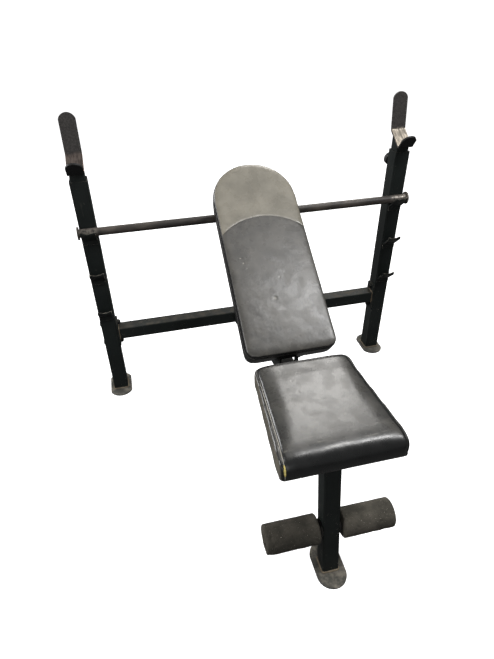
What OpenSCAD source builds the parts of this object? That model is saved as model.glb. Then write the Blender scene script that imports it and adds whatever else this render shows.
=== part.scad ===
// Adjustable weight bench with a bar rack, a reclining back pad and foam leg rollers.
// +X is to the right, +Y to the rear (the rack end) and +Z up, in millimetres.
// The origin is on the floor, under the middle of the bench's outline.

/* [Rack] */
// Distance between the centre lines of the two uprights
rack_span = 1002; // [990:2:1014]
// Height of the outer upright tubes
upright_top = 788; // [780:2:800]
// Side of the square outer tubes
upright_w = 50; // [48:1:52]
// Side of the square tubes that slide inside the uprights
inner_w = 42; // [40:1:43]
// Height of the lowest pair of support bar hooks
hook_low = 369; // [360:1:375]
// Rise from one pair of support bar hooks to the next
hook_step = 140; // [136:1:142]

/* [Base] */
// Distance from the uprights' front face forward to the edge of the front foot
front_reach = 893; // [880:1:900]
// Distance from the uprights' front face back to the edge of the rear feet
rear_reach = 88; // [84:1:92]
// Thickness of the foot plates
foot_t = 5; // [4:0.5:6]
// Side of the square tubes of the bench's base
base_w = 44; // [42:1:45]
// Backward lean of the front post, in degrees
post_lean = 10; // [8:1:12]
// Height of the crossmember's centre line
cross_z = 245.5; // [240:0.5:250]

/* [Pads] */
// Incline of the back pad when it rests on the support bar, in degrees
recline = 33.1; // [32:0.1:34]
// Length of the back pad
back_len = 620; // [600:5:630]
// Width of the back pad at its lower end
back_w = 256; // [248:2:260]
// Width of the back pad at its head end
head_w = 250; // [240:2:256]
// Foam and cover thickness of the back pad above its board
back_foam = 45; // [40:1:48]
// Width of the seat at its front
seat_front_w = 298; // [290:2:304]
// Width of the seat at its rear
seat_rear_w = 252; // [240:2:260]
// Height of the seat's top above the floor
seat_top = 470; // [465:1:475]
// Thickness of the plywood boards
board_t = 12; // [10:1:14]

/* [Moving parts] */
// Diameter of the support bar
bar_d = 25; // [24:0.5:26]
// Outside diameter of the foam rollers
foam_d = 76; // [70:1:80]
// Length of one foam roller
foam_len = 136; // [126:1:140]
// Height of the roller bar
roller_z = 139; // [130:1:145]

/* [Hidden] */
$fn = 48;

// Steps in a strip's bends
bend_steps = 6;

// Clearance of a shaft that turns in a hole, of a bolt in its hole, and of parts at rest
run_gap = 0.05;
bolt_gap = 0.25;
rest_gap = 0.3;

// Y of the uprights' front face, which puts the outline's middle at the origin
rack_y = (front_reach - rear_reach) / 2;
rack_x = rack_span / 2;
upright_y = rack_y + upright_w / 2;
upright_wall = 2.5;
tube_wall = 2;
tube_r = 4;

// Crossmember and its end plates
plate_t = 5;
end_plate_h = 105;
cross_end_x = rack_x - upright_w / 2 - plate_t;
end_bolt_dz = 38.5;
m10_r = 5;
m8_r = 4;

// Support bar hooks, as offsets from the upright's face and from the lip's top edge
hook_w = 44;
hook_t = 4;
hook_lip_y = -36;
hook_lip_drop = 8;
hook_foot_y = -hook_t / 2;
hook_foot_drop = 40;
hook_flange_drop = 54;
hook_slope = atan2(hook_foot_drop - hook_lip_drop, hook_foot_y - hook_lip_y);
hook_top = hook_low + 2 * hook_step;

// Support bar, lying against the uprights and on the slopes of the top hooks
bar_r = bar_d / 2;
bar_in_y = -bar_r - rest_gap;
bar_drop = hook_lip_drop + (bar_in_y - hook_lip_y) * tan(hook_slope)
    - (bar_r + rest_gap + hook_t / 2) / cos(hook_slope);
bar_y = rack_y + bar_in_y;
bar_z = hook_top - bar_drop;
bar_end_x = 527.5 + (rack_span - 1002) / 2;
flange_r = 20;
flange_t = 4;

// Back pad frame: a local frame whose Y runs up the incline and whose Z is the pad's normal,
// with its origin at the pad's lower end, on the underside of the rails
rail_w = 25;
bar_seat = 496;
back_y = bar_y - (bar_r + rest_gap) * sin(recline) - bar_seat * cos(recline);
back_z = bar_z + (bar_r + rest_gap) * cos(recline) - bar_seat * sin(recline);
rail_x = 45.5;
rail_start = 30;
rail_end = 540;
pivot_s = 14;
pivot_n = rail_w / 2;
pivot_y = back_y + pivot_s * cos(recline) - pivot_n * sin(recline);
pivot_z = back_z + pivot_s * sin(recline) + pivot_n * cos(recline);
lug_x = 28;
ear_t = 5;
lug_r = 11;
back_bolt_s = [100, 440];
tie_s = [130, 410];

// Seat and base
seat_board_z = 415;
strap_t = 5;
strap_w = 44;
strap_len = 200;
rail_top = seat_board_z - strap_t;
post_depth = base_w / cos(post_lean);
post_foot_y = rack_y - front_reach + 67.5;
function post_y(z) = post_foot_y + (z - foot_t) * tan(post_lean);
roller_y = post_y(roller_z);
seat_rail_end = rack_y - 520;
spine_start_z = 372;
spine_front_y = rack_y + upright_w / 2 - base_w / 2;
spine_plate_y = spine_front_y - plate_t;
spine_slope = atan2(spine_start_z - cross_z, spine_plate_y - seat_rail_end);
spine_bolt_x = 42;
seat_front_y = rack_y - 850;
seat_rear_y = rack_y - 534;
seat_bolt_x = 82;
seat_bolt_y = [post_y(rail_top), rack_y - 590];

// Rollers
roller_bar_r = 11;
roller_bar_x = 150;
foam_start = 31;
collar_r = 22;
collar_t = 4;

// Bar cradles, as offsets from the upright's face and heights above the floor
cradle_w = 47;
cradle_t = 6;
cradle_lip = [-35, 845];
cradle_valley = [-6, 804];
cradle_bend = [54, 844];
cradle_tip = [71, 954];
inner_bottom = 400;

// How much further the left inner tube is drawn out than the right one
left_raise = 6;

// Clamp knobs
knob_z = 745;
knob_r = 20;
knob_start = 62;
knob_len = 23;
screw_end = 86.5;
clamp_nut_t = 8;

// ---- 2D shapes ----

module rounded_square(w, h, r) {
    square([w - 2 * r, h], center = true);
    square([w, h - 2 * r], center = true);
    for (sx = [-1, 1], sy = [-1, 1])
        translate([sx * (w / 2 - r), sy * (h / 2 - r)]) circle(r = r);
}

module tube_section(w, wall, r) {
    difference() {
        rounded_square(w, w, r);
        rounded_square(w - 2 * wall, w - 2 * wall, r - wall);
    }
}

module hexagon(across_flats) {
    circle(d = across_flats / cos(30), $fn = 6);
}

// ---- Placing helpers ----

// Extrudes a shape drawn in Y and Z along X
module along_x(x0, x1) {
    translate([x0, 0, 0]) rotate([90, 0, 90]) linear_extrude(x1 - x0) children();
}

// Extrudes a shape drawn in X and Z along Y
module along_y(y0, y1) {
    translate([0, y1, 0]) rotate([90, 0, 0]) linear_extrude(y1 - y0) children();
}

module rod_x(x0, x1, y, z, r) {
    translate([x0, y, z]) rotate([0, 90, 0]) cylinder(h = x1 - x0, r = r);
}

module rod_y(x, y0, y1, z, r) {
    translate([x, y0, z]) rotate([-90, 0, 0]) cylinder(h = y1 - y0, r = r);
}

// Puts children into the back pad's local frame
module on_back() {
    translate([0, back_y, back_z]) rotate([recline, 0, 0]) children();
}

// Unit vector from a to b
function toward(a, b) = (b - a) / norm(b - a);

// Points of the arc of radius r that rounds the corner b of the path a, b, c
function fillet(a, b, c, r) = let(
    u = toward(a, b), v = toward(b, c),
    turn = atan2(u[0] * v[1] - u[1] * v[0], u * v),
    side = sign(turn),
    start = b - u * r * tan(abs(turn) / 2),
    centre = start + side * r * [-u[1], u[0]],
    from = atan2(start[1] - centre[1], start[0] - centre[0])
) [for (i = [0:bend_steps]) centre + r * [cos(from + turn * i / bend_steps),
                                          sin(from + turn * i / bend_steps)]];

// The path with each inner corner rounded to radius r
function rounded_path(path, r) = [
    path[0],
    for (i = [1:len(path) - 2]) each fillet(path[i - 1], path[i], path[i + 1], r),
    path[len(path) - 1]
];

// One side of a strip of thickness 2 * half that follows the path
function strip_side(path, half) = [for (i = [0:len(path) - 1])
    let(d = toward(path[max(i - 1, 0)], path[min(i + 1, len(path) - 1)]))
    path[i] + half * [-d[1], d[0]]];

// Bent strip of width w, centred on x, whose middle follows a path in Y and Z
module bent_strip(x, path, w, t, r) {
    rounded = rounded_path(path, r);
    far = strip_side(rounded, -t / 2);
    along_x(x - w / 2, x + w / 2)
        polygon(concat(strip_side(rounded, t / 2), [for (i = [len(far) - 1:-1:0]) far[i]]));
}

// What is cut from the corners of a strip's end at q, reached from p, to make the end round
module end_corners(x, p, q, w) {
    r = w / 2 + 1;
    translate([x, q[0], q[1]]) rotate([atan2(q[1] - p[1], q[0] - p[0]), 0, 0])
        translate([0, 0, -w / 2]) linear_extrude(w) difference() {
            translate([-w, -r]) square([2 * w, r + 5]);
            translate([0, -r]) circle(r = r);
        }
}

// ---- Rack ----

module upright(side) {
    color("#1b1f20") difference() {
        translate([side * rack_x, upright_y, foot_t])
            linear_extrude(upright_top - foot_t) tube_section(upright_w, upright_wall, tube_r);
        for (dz = [-end_bolt_dz, end_bolt_dz])
            rod_x(side * rack_x - 30, side * rack_x + 30, upright_y, cross_z + dz, m10_r + bolt_gap);
        rod_y(side * rack_x, rack_y + upright_w / 2, rack_y + upright_w + 1, knob_z, m10_r + 1);
    }
}

// Foot plate with shallow arcs at both ends
module rear_foot(side) {
    foot_w = 76;
    foot_len = 126;
    arc_r = 41;
    color("#3a3733") translate([side * rack_x, rack_y + rear_reach - foot_len / 2, 0])
        linear_extrude(foot_t) intersection() {
            square([foot_w, foot_len], center = true);
            union() {
                square([foot_w, foot_len - 2 * arc_r], center = true);
                for (s = [-1, 1]) translate([0, s * (foot_len / 2 - arc_r)]) circle(r = arc_r);
            }
        }
}

module crossmember() {
    color("#161a1b") difference() {
        translate([0, upright_y, cross_z]) rotate([0, 90, 0])
            linear_extrude(2 * cross_end_x, center = true) tube_section(base_w, tube_wall, tube_r);
        for (s = [-1, 1])
            rod_y(s * spine_bolt_x, rack_y - 10, rack_y + upright_w + 10, cross_z, m8_r + bolt_gap);
    }
}

module end_plate(side) {
    chamfer = 8;
    half_w = upright_w / 2;
    half_h = end_plate_h / 2;
    color("#15191a") difference() {
        translate([0, upright_y, cross_z])
            along_x(side > 0 ? cross_end_x : -cross_end_x - plate_t,
                    side > 0 ? cross_end_x + plate_t : -cross_end_x)
                polygon([
                    [-half_w, chamfer - half_h], [chamfer - half_w, -half_h],
                    [half_w - chamfer, -half_h], [half_w, chamfer - half_h],
                    [half_w, half_h - chamfer], [half_w - chamfer, half_h],
                    [chamfer - half_w, half_h], [-half_w, half_h - chamfer]
                ]);
        for (dz = [-end_bolt_dz, end_bolt_dz])
            rod_x(side * rack_x - 40, side * rack_x + 40, upright_y, cross_z + dz, m10_r + bolt_gap);
    }
}

// Round-headed bolts through each upright, with their heads on the outside
module end_plate_bolts() {
    head_t = 4;
    head_r = 10;
    thread_out = 10;
    color("#2b2c2c") for (side = [-1, 1], dz = [-end_bolt_dz, end_bolt_dz])
        translate([side * (rack_x + upright_w / 2), upright_y, cross_z + dz])
            rotate([0, side * 90, 0]) {
                translate([0, 0, -upright_w - plate_t - thread_out])
                    cylinder(h = upright_w + plate_t + thread_out, r = m10_r);
                cylinder(h = head_t / 2, r = head_r);
                translate([0, 0, head_t / 2]) cylinder(h = head_t / 2, r1 = head_r, r2 = head_r - 3);
            }
}

module end_plate_nuts() {
    nut_t = 8;
    color("#6f6a62") for (side = [-1, 1], dz = [-end_bolt_dz, end_bolt_dz])
        translate([side * cross_end_x, upright_y, cross_z + dz]) rotate([0, -side * 90, 0])
            linear_extrude(nut_t) difference() {
                hexagon(17);
                circle(r = m10_r + run_gap);
            }
}

// Bent strip that holds the support bar: a lip worn down in its middle, a slope, a welded flange
module bar_hook(side, lip_z) {
    dip_r = 40;
    dip = 4;
    bend_r = 5;
    x = side * rack_x;
    lip = [rack_y + hook_lip_y, lip_z];
    path = [
        lip,
        lip - [0, hook_lip_drop],
        [rack_y + hook_foot_y, lip_z - hook_foot_drop],
        [rack_y + hook_foot_y, lip_z - hook_flange_drop]
    ];
    color("#1d2122") difference() {
        bent_strip(x, path, hook_w, hook_t, bend_r);
        rod_y(x, lip[0] - 10, lip[0] + 10, lip_z + dip_r - dip, dip_r);
    }
}

// ---- Telescoping bar cradles ----

function cradle_raise(side) = side < 0 ? left_raise : 0;

module inner_tube(side) {
    slope = (cradle_bend[1] - cradle_valley[1]) / (cradle_bend[0] - cradle_valley[0]);
    under = cradle_t / 2 / cos(atan(slope));
    function cut_z(y) = cradle_valley[1] + (y - cradle_valley[0]) * slope - under;
    y0 = (upright_w - inner_w) / 2;
    y1 = y0 + inner_w;
    color("#14181a") translate([0, 0, cradle_raise(side)]) intersection() {
        translate([side * rack_x, upright_y, inner_bottom])
            linear_extrude(cradle_tip[1] - inner_bottom) tube_section(inner_w, tube_wall, tube_r);
        translate([0, rack_y, 0]) along_x(side * rack_x - inner_w, side * rack_x + inner_w)
            polygon([[y0, inner_bottom], [y1, inner_bottom], [y1, cut_z(y1)], [y0, cut_z(y0)]]);
    }
}

// Bent plate with a round-tipped lip, a slope that the barbell rolls down, and a tall blade
module bar_cradle(side) {
    bend_r = 7;
    x = side * rack_x;
    path = [for (p = [cradle_lip, cradle_valley, cradle_bend, cradle_tip]) p + [rack_y, 0]];
    color("#3b3532") translate([0, 0, cradle_raise(side)]) difference() {
        bent_strip(x, path, cradle_w, cradle_t, bend_r);
        end_corners(x, path[1], path[0], cradle_w);
        end_corners(x, path[2], path[3], cradle_w);
    }
}

module clamp_nut(side) {
    color("#22262a") translate([side * rack_x, rack_y + upright_w, knob_z]) rotate([-90, 0, 0])
        linear_extrude(clamp_nut_t) difference() {
            hexagon(17);
            circle(r = m10_r + run_gap);
        }
}

module clamp_screw(side) {
    tip_y = upright_y + inner_w / 2 + 0.4;
    color("#b9b6ae") rod_y(side * rack_x, tip_y, rack_y + screw_end, knob_z, m10_r);
}

// Round grip with flutes for the fingers
module knob(side) {
    flutes = 8;
    flute_r = 3.5;
    collar_len = 5;
    edge = 3;
    color("#0d0e0f") translate([side * rack_x, rack_y + knob_start, knob_z]) rotate([-90, 0, 0])
        difference() {
            rotate_extrude() difference() {
                union() {
                    square([knob_r * 0.6, collar_len]);
                    translate([0, collar_len]) square([knob_r, knob_len - collar_len - edge]);
                    square([knob_r - edge, knob_len]);
                    translate([knob_r - edge, knob_len - edge]) circle(r = edge);
                }
                translate([knob_r * 0.6, -1]) square([knob_r, collar_len + 1]);
                translate([-knob_r, -1]) square([knob_r + m10_r, knob_len + 2]);
            }
            for (i = [0:flutes - 1]) rotate([0, 0, i * 360 / flutes])
                translate([knob_r + 1.5, 0, collar_len - 1]) cylinder(h = knob_len, r = flute_r);
        }
}

// ---- Support bar ----

module support_bar() {
    color("#4a443f") rod_x(-bar_end_x, bar_end_x, bar_y, bar_z, bar_r);
}

// Flat end discs, each with a short cone where the bar's end is flared into it
module support_bar_flanges() {
    flare_t = 1.4;
    flare_r = 17;
    color("#2a2725") for (side = [-1, 1])
        translate([side * bar_end_x, bar_y, bar_z]) rotate([0, side * 90, 0]) rotate_extrude()
            polygon([[0, 0], [bar_r, 0], [bar_r, -flare_t], [flare_r, 0], [flange_r, 0],
                     [flange_r, flange_t], [0, flange_t]]);
}

// ---- Base ----

module front_post() {
    reach = 60;
    color("#15191a") difference() {
        intersection() {
            translate([0, post_y(foot_t), foot_t]) rotate([-post_lean, 0, 0])
                translate([0, 0, -reach])
                    linear_extrude((rail_top - foot_t) / cos(post_lean) + 2 * reach)
                        tube_section(base_w, tube_wall, tube_r);
            translate([-base_w, post_foot_y - 4 * base_w, foot_t])
                cube([2 * base_w, 8 * base_w, rail_top - foot_t]);
        }
        rod_x(-base_w, base_w, roller_y, roller_z, roller_bar_r + bolt_gap);
    }
}

module front_foot() {
    foot_w = 78;
    foot_len = 132;
    color("#3a3733") translate([0, rack_y - front_reach + foot_len / 2, 0])
        linear_extrude(foot_t) {
            square([foot_w, foot_len - foot_w], center = true);
            for (s = [-1, 1]) translate([0, s * (foot_len - foot_w) / 2]) circle(d = foot_w);
        }
}

module seat_rail() {
    start = post_y(rail_top) - post_depth;
    color("#15191a") difference() {
        translate([0, 0, rail_top - base_w / 2]) along_y(start, seat_rail_end)
            tube_section(base_w, tube_wall, tube_r);
        // Cut to lie against the leaning post's rear face
        translate([0, post_y(foot_t) + post_depth / 2, foot_t]) rotate([-post_lean, 0, 0])
            translate([-base_w, -4 * base_w, 0]) cube([2 * base_w, 4 * base_w, 2 * rail_top]);
    }
}

module spine_rail() {
    run = spine_plate_y - seat_rail_end;
    reach = 40;
    color("#15191a") intersection() {
        translate([0, seat_rail_end, spine_start_z]) rotate([-90 - spine_slope, 0, 0])
            translate([0, 0, -reach]) linear_extrude(run / cos(spine_slope) + 2 * reach)
                tube_section(base_w, tube_wall, tube_r);
        translate([-base_w, seat_rail_end, 0]) cube([2 * base_w, run, 2 * spine_start_z]);
    }
}

module spine_end_plate() {
    plate_w = 120;
    plate_h = 56;
    color("#15191a") difference() {
        translate([0, 0, cross_z]) along_y(spine_plate_y, spine_front_y)
            rounded_square(plate_w, plate_h, 8);
        for (s = [-1, 1])
            rod_y(s * spine_bolt_x, spine_plate_y - 10, spine_front_y + 10, cross_z, m8_r + bolt_gap);
    }
}

module spine_bolts() {
    head_t = 5.3;
    color("#2b2c2c") for (s = [-1, 1]) {
        translate([s * spine_bolt_x, 0, cross_z]) along_y(spine_plate_y - head_t, spine_plate_y)
            hexagon(13);
        rod_y(s * spine_bolt_x, spine_plate_y, spine_front_y + base_w + 10, cross_z, m8_r);
    }
}

module spine_nuts() {
    nut_t = 6.5;
    back = spine_front_y + base_w;
    color("#6f6a62") for (s = [-1, 1])
        translate([s * spine_bolt_x, 0, cross_z]) along_y(back, back + nut_t) difference() {
            hexagon(13);
            circle(r = m8_r + run_gap);
        }
}

// ---- Seat ----

module seat_strap(y) {
    color("#15191a") translate([0, y, rail_top]) linear_extrude(strap_t) difference() {
        rounded_square(strap_len, strap_w, 6);
        for (s = [-1, 1]) translate([s * seat_bolt_x, 0]) circle(r = m8_r + bolt_gap);
    }
}

// Plan of the seat, drawn in from its edge by inset
module seat_plan(inset) {
    front_r = 14;
    rear_r = 18;
    hull() for (s = [-1, 1]) {
        translate([s * (seat_front_w / 2 - front_r), seat_front_y + front_r])
            circle(r = front_r - inset, $fn = 32);
        translate([s * (seat_rear_w / 2 - rear_r), seat_rear_y - rear_r])
            circle(r = rear_r - inset, $fn = 32);
    }
}

module seat_board_solid() {
    edge = 10;
    translate([0, 0, seat_board_z]) linear_extrude(board_t) seat_plan(edge);
}

module seat_board() {
    color("#a58a63") difference() {
        seat_board_solid();
        seat_tee_cuts();
    }
}

module seat_tee_cuts() {
    for (s = [-1, 1], y = seat_bolt_y) translate([s * seat_bolt_x, y, seat_board_z])
        tee_nut_body(0);
}

// Foam and cover: wraps the board's sides, with a rolled front edge
module seat_cushion() {
    roll = 42;
    height = seat_top - seat_board_z;
    color("#9a968d") difference() {
        intersection() {
            translate([0, 0, seat_board_z]) linear_extrude(height) seat_plan(0);
            along_x(-seat_front_w, seat_front_w) {
                translate([seat_front_y + roll, seat_board_z - 1])
                    square([seat_rear_y - seat_front_y, height + 1]);
                translate([seat_front_y, seat_board_z - 1]) square([2 * roll, height + 1 - roll]);
                translate([seat_front_y + roll, seat_top - roll]) circle(r = roll);
            }
        }
        seat_board_solid();
    }
}

module seat_bolts() {
    for (s = [-1, 1], y = seat_bolt_y) translate([s * seat_bolt_x, y, rail_top]) board_bolt(strap_t);
}

module seat_tee_nuts() {
    for (s = [-1, 1], y = seat_bolt_y) translate([s * seat_bolt_x, y, seat_board_z]) tee_nut();
}

// ---- Fasteners for the boards ----

// Hexagon-headed bolt that passes up through grip millimetres of steel into a board
module board_bolt(grip) {
    head_t = 5.3;
    color("#3a3a39") {
        translate([0, 0, -head_t]) linear_extrude(head_t) hexagon(13);
        cylinder(h = grip + board_t - 1, r = m8_r);
    }
}

// Tee nut's outside: a barrel and a flange sunk flush with the board's top
module tee_nut_body(bore) {
    barrel_r = 5.2;
    barrel_t = 9;
    flange_t = 1.5;
    flange_r = 11;
    difference() {
        union() {
            translate([0, 0, board_t - barrel_t]) cylinder(h = barrel_t, r = barrel_r);
            translate([0, 0, board_t - flange_t]) cylinder(h = flange_t, r = flange_r);
            if (bore == 0) translate([0, 0, -1]) cylinder(h = board_t, r = m8_r + bolt_gap);
        }
        if (bore > 0) cylinder(h = 2 * board_t, r = bore);
    }
}

module tee_nut() {
    color("#8d8a84") tee_nut_body(m8_r + run_gap);
}

// ---- Hinge of the back pad ----

// Plate welded to the side of the seat rail and the spine, with a tab that rises to the pivot
module hinge_ear(side) {
    x0 = side > 0 ? base_w / 2 : -base_w / 2 - ear_t;
    half = base_w / 2 / cos(spine_slope);
    function top_z(y) = spine_start_z + half - (y - seat_rail_end) * tan(spine_slope) - 2;
    function low_z(y) = spine_start_z - half - (y - seat_rail_end) * tan(spine_slope) + 6;
    color("#15191a") difference() {
        along_x(x0, x0 + ear_t) {
            polygon([
                [seat_rail_end - 45, rail_top - base_w + 6],
                [seat_rail_end - 45, rail_top - 14],
                [pivot_y - lug_r, top_z(pivot_y - lug_r)],
                [pivot_y - lug_r, pivot_z],
                [pivot_y + lug_r, pivot_z],
                [pivot_y + lug_r, top_z(pivot_y + lug_r)],
                [pivot_y + 40, low_z(pivot_y + 40) + 10],
                [pivot_y + 20, low_z(pivot_y + 20)],
                [seat_rail_end, low_z(seat_rail_end)]
            ]);
            translate([pivot_y, pivot_z]) circle(r = lug_r);
        }
        rod_x(-base_w, base_w, pivot_y, pivot_z, m10_r + run_gap);
    }
}

// Plate welded to the inner side of a back rail, which turns on the hinge bolt
module hinge_lug(side) {
    lug_end = 95;
    x0 = side > 0 ? lug_x : -lug_x - ear_t;
    color("#15191a") difference() {
        on_back() along_x(x0, x0 + ear_t) {
            translate([pivot_s, pivot_n]) circle(r = lug_r);
            translate([pivot_s, pivot_n - lug_r]) square([lug_end - pivot_s, 2 * lug_r]);
            translate([lug_end, pivot_n]) circle(r = lug_r);
        }
        rod_x(-base_w, base_w, pivot_y, pivot_z, m10_r + run_gap);
    }
}

module hinge_bolt() {
    head_t = 6.4;
    grip = lug_x + ear_t + 0.5;
    thread_out = 12;
    color("#3a3a39") {
        rod_x(-grip, grip + thread_out, pivot_y, pivot_z, m10_r);
        translate([0, pivot_y, pivot_z]) along_x(-grip - head_t, -grip) hexagon(16);
    }
}

module hinge_nut() {
    nut_t = 9;
    grip = lug_x + ear_t + 0.5;
    color("#6f6a62") translate([0, pivot_y, pivot_z]) along_x(grip, grip + nut_t) difference() {
        hexagon(16);
        circle(r = m10_r + run_gap);
    }
}

// ---- Back pad frame ----

module back_rail(side) {
    color("#15191a") on_back() difference() {
        translate([side * rail_x, 0, rail_w / 2]) along_y(rail_start, rail_end)
            tube_section(rail_w, 1.5, 2.5);
        for (s = back_bolt_s) translate([side * rail_x, s, -1])
            cylinder(h = rail_w + 2, r = m8_r + bolt_gap);
    }
}

// Short tubes that join the two back rails
module back_cross_ties() {
    half = rail_x - rail_w / 2;
    color("#15191a") on_back() for (s = tie_s)
        translate([0, s, rail_w / 2]) along_x(-half, half) tube_section(rail_w, 1.5, 2.5);
}

// Plastic caps that close the upper ends of the back rails
module back_rail_caps() {
    cap_t = 4;
    color("#0d0e0f") on_back() for (side = [-1, 1])
        translate([side * rail_x, 0, rail_w / 2]) along_y(rail_end, rail_end + cap_t)
            rounded_square(rail_w, rail_w, 3);
}

// Plan of the back pad: square lower end with round corners, and a round head
module back_plan(inset) {
    corner = 26;
    hull() {
        for (s = [-1, 1]) translate([s * (back_w / 2 - corner), corner])
            circle(r = corner - inset, $fn = 32);
        translate([0, back_len - head_w / 2]) circle(r = head_w / 2 - inset, $fn = 96);
    }
}

module back_board_solid() {
    edge = 10;
    on_back() translate([0, 0, rail_w]) linear_extrude(board_t) back_plan(edge);
}

module back_board() {
    color("#a58a63") difference() {
        back_board_solid();
        on_back() for (side = [-1, 1], s = back_bolt_s) translate([side * rail_x, s, rail_w])
            tee_nut_body(0);
    }
}

// Foam and cover: wraps the board's sides, open over the rails
module back_cushion() {
    color("#6b6a66") difference() {
        on_back() translate([0, 0, rail_w]) linear_extrude(board_t + back_foam) back_plan(0);
        back_board_solid();
    }
}

module back_bolts() {
    on_back() for (side = [-1, 1], s = back_bolt_s) translate([side * rail_x, s, 0])
        board_bolt(rail_w);
}

module back_tee_nuts() {
    on_back() for (side = [-1, 1], s = back_bolt_s) translate([side * rail_x, s, rail_w]) tee_nut();
}

// ---- Foam leg rollers ----

module roller_bar() {
    bar_wall = 2;
    color("#1c1d1d") difference() {
        rod_x(-roller_bar_x, roller_bar_x, roller_y, roller_z, roller_bar_r);
        rod_x(-roller_bar_x - 1, roller_bar_x + 1, roller_y, roller_z, roller_bar_r - bar_wall);
    }
}

// Steel collars that hold the bar in the post and keep the foam off its sides
module roller_collars() {
    color("#55524d") for (side = [-1, 1])
        translate([side * (base_w / 2 + collar_t / 2), roller_y, roller_z]) rotate([0, 90, 0])
            difference() {
                cylinder(h = collar_t, r = collar_r, center = true);
                cylinder(h = 2 * collar_t, r = roller_bar_r + run_gap, center = true);
            }
}

module foam_roller(side) {
    edge = 3;
    color("#3b3834") translate([side * (foam_start + foam_len / 2), roller_y, roller_z])
        rotate([0, 90, 0]) rotate_extrude() difference() {
            union() {
                square([foam_d / 2, foam_len - 2 * edge], center = true);
                translate([0, -foam_len / 2]) square([foam_d / 2 - edge, foam_len]);
                translate([0, 2 * edge - foam_len / 2 - edge])
                    square([foam_d / 2, foam_len - 2 * edge]);
                for (s = [-1, 1]) translate([foam_d / 2 - edge, s * (foam_len / 2 - edge)])
                    circle(r = edge);
            }
            translate([-foam_d, -foam_len]) square([foam_d + roller_bar_r + run_gap, 2 * foam_len]);
        }
}

// ---- Assembly ----

upright(-1);  // left_upright
upright(1);  // right_upright
rear_foot(-1);  // left_rear_foot
rear_foot(1);  // right_rear_foot
crossmember();
end_plate(-1);  // left_end_plate
end_plate(1);  // right_end_plate
end_plate_bolts();
end_plate_nuts();
bar_hook(-1, hook_low);  // left_bar_hook_low
bar_hook(-1, hook_low + hook_step);  // left_bar_hook_middle
bar_hook(-1, hook_top);  // left_bar_hook_top
bar_hook(1, hook_low);  // right_bar_hook_low
bar_hook(1, hook_low + hook_step);  // right_bar_hook_middle
bar_hook(1, hook_top);  // right_bar_hook_top
front_post();
front_foot();
seat_rail();
spine_rail();
spine_end_plate();
spine_bolts();
spine_nuts();
seat_strap(seat_bolt_y[0]);  // front_seat_strap
seat_strap(seat_bolt_y[1]);  // rear_seat_strap
seat_board();
seat_cushion();
seat_bolts();
seat_tee_nuts();
hinge_ear(-1);  // left_hinge_ear
hinge_ear(1);  // right_hinge_ear
hinge_bolt();
hinge_nut();
roller_bar();
roller_collars();
foam_roller(-1);  // left_foam_roller
foam_roller(1);  // right_foam_roller
back_rail(-1);  // left_back_rail
back_rail(1);  // right_back_rail
hinge_lug(-1);  // left_hinge_lug
hinge_lug(1);  // right_hinge_lug
back_cross_ties();
back_rail_caps();
back_board();
back_cushion();
back_bolts();
back_tee_nuts();
support_bar();
support_bar_flanges();
inner_tube(-1);  // left_inner_tube
inner_tube(1);  // right_inner_tube
bar_cradle(-1);  // left_bar_cradle
bar_cradle(1);  // right_bar_cradle
clamp_nut(-1);  // left_clamp_nut
clamp_nut(1);  // right_clamp_nut
clamp_screw(-1);  // left_clamp_screw
clamp_screw(1);  // right_clamp_screw
knob(-1);  // left_knob
knob(1);  // right_knob
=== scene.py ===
# Looks of an adjustable weight bench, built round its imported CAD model.

import math
import random

import bmesh
import bpy
import numpy as np
from mathutils import Matrix, Vector, noise
from mathutils.bvhtree import BVHTree
from mathutils.kdtree import KDTree


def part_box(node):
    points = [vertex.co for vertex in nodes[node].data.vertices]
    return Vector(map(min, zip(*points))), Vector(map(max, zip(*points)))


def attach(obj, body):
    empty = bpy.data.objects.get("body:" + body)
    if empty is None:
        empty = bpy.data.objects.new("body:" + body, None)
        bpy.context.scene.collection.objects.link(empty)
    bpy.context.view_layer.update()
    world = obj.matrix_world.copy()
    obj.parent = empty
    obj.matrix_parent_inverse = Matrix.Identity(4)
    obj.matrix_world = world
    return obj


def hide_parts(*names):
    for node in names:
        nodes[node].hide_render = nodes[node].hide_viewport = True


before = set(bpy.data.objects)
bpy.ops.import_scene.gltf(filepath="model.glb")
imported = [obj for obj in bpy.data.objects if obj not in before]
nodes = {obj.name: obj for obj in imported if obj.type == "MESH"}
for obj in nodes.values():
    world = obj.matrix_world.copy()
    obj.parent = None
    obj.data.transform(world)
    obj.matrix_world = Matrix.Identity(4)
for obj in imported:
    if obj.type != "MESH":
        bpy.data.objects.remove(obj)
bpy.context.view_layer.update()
MM = 0.001
SIM_FRAMES = 20


# ---- Small helpers ----

def tone(red, green, blue):
    """Linear colour of a display colour given in 0 to 255."""
    def linear(v):
        v /= 255
        return v / 12.92 if v <= 0.04045 else ((v + 0.055) / 1.055) ** 2.4
    return (linear(red), linear(green), linear(blue), 1.0)


def points_of(mesh):
    co = np.empty(len(mesh.vertices) * 3)
    mesh.vertices.foreach_get("co", co)
    return co.reshape(-1, 3)


def set_points(mesh, co):
    mesh.vertices.foreach_set("co", np.asarray(co, float).ravel())
    mesh.update()


def shade_smooth(obj):
    obj.data.polygons.foreach_set("use_smooth", [True] * len(obj.data.polygons))


def new_object(name, mesh, placing=None):
    obj = bpy.data.objects.new(name, mesh)
    bpy.context.scene.collection.objects.link(obj)
    if placing is not None:
        obj.matrix_world = placing
    return obj


def mesh_object(name, verts, faces, placing=None):
    mesh = bpy.data.meshes.new(name)
    mesh.from_pydata([tuple(v) for v in verts], [], faces)
    tidy = bmesh.new()
    tidy.from_mesh(mesh)
    bmesh.ops.recalc_face_normals(tidy, faces=tidy.faces)
    tidy.to_mesh(mesh)
    tidy.free()
    obj = new_object(name, mesh, placing)
    shade_smooth(obj)
    return obj


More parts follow.
